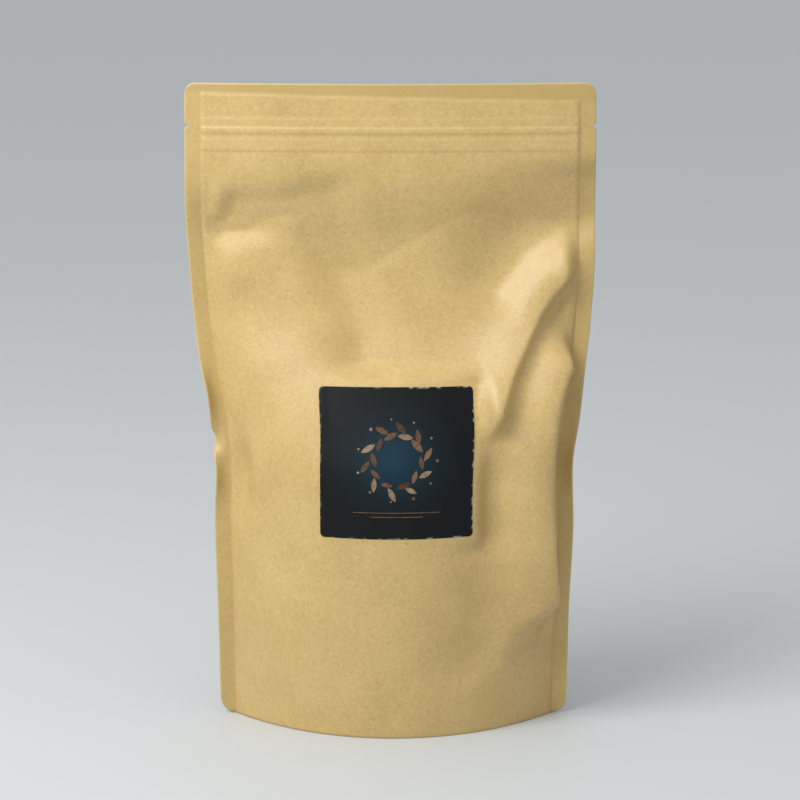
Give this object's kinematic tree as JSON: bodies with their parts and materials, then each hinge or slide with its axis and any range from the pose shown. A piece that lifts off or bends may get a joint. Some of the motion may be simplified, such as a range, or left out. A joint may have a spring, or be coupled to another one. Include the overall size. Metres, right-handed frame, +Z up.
{
  "type": "stand-up paper pouch, filled and sealed",
  "caption": "Kraft paper stand-up pouch with a zip under the heat-sealed top, side seals with tear notches, a square front label and a gusseted base; filled with dried pods.",
  "frame": {"origin": "on the floor, under the middle of the pouch's box", "axes": "+Z up to the sealed top, front and its label towards -Y, +X to the right in a front view"},
  "size_m": [0.19, 0.082, 0.3],
  "materials": {
    "kraft_paper": "uncoated kraft with a faint sheen",
    "clear_film": "milky polyethylene",
    "label_print": "satin coated print",
    "pod_husk": "dry ribbed husk"
  },
  "bodies": {
    "root": {"front_panel": "kraft_paper", "back_panel": "kraft_paper", "bottom_gusset": "kraft_paper", "zip_track_front": "clear_film", "zip_track_back": "clear_film", "front_label": "label_print", "pod_fill": "pod_husk"}
  },
  "joints": []
}
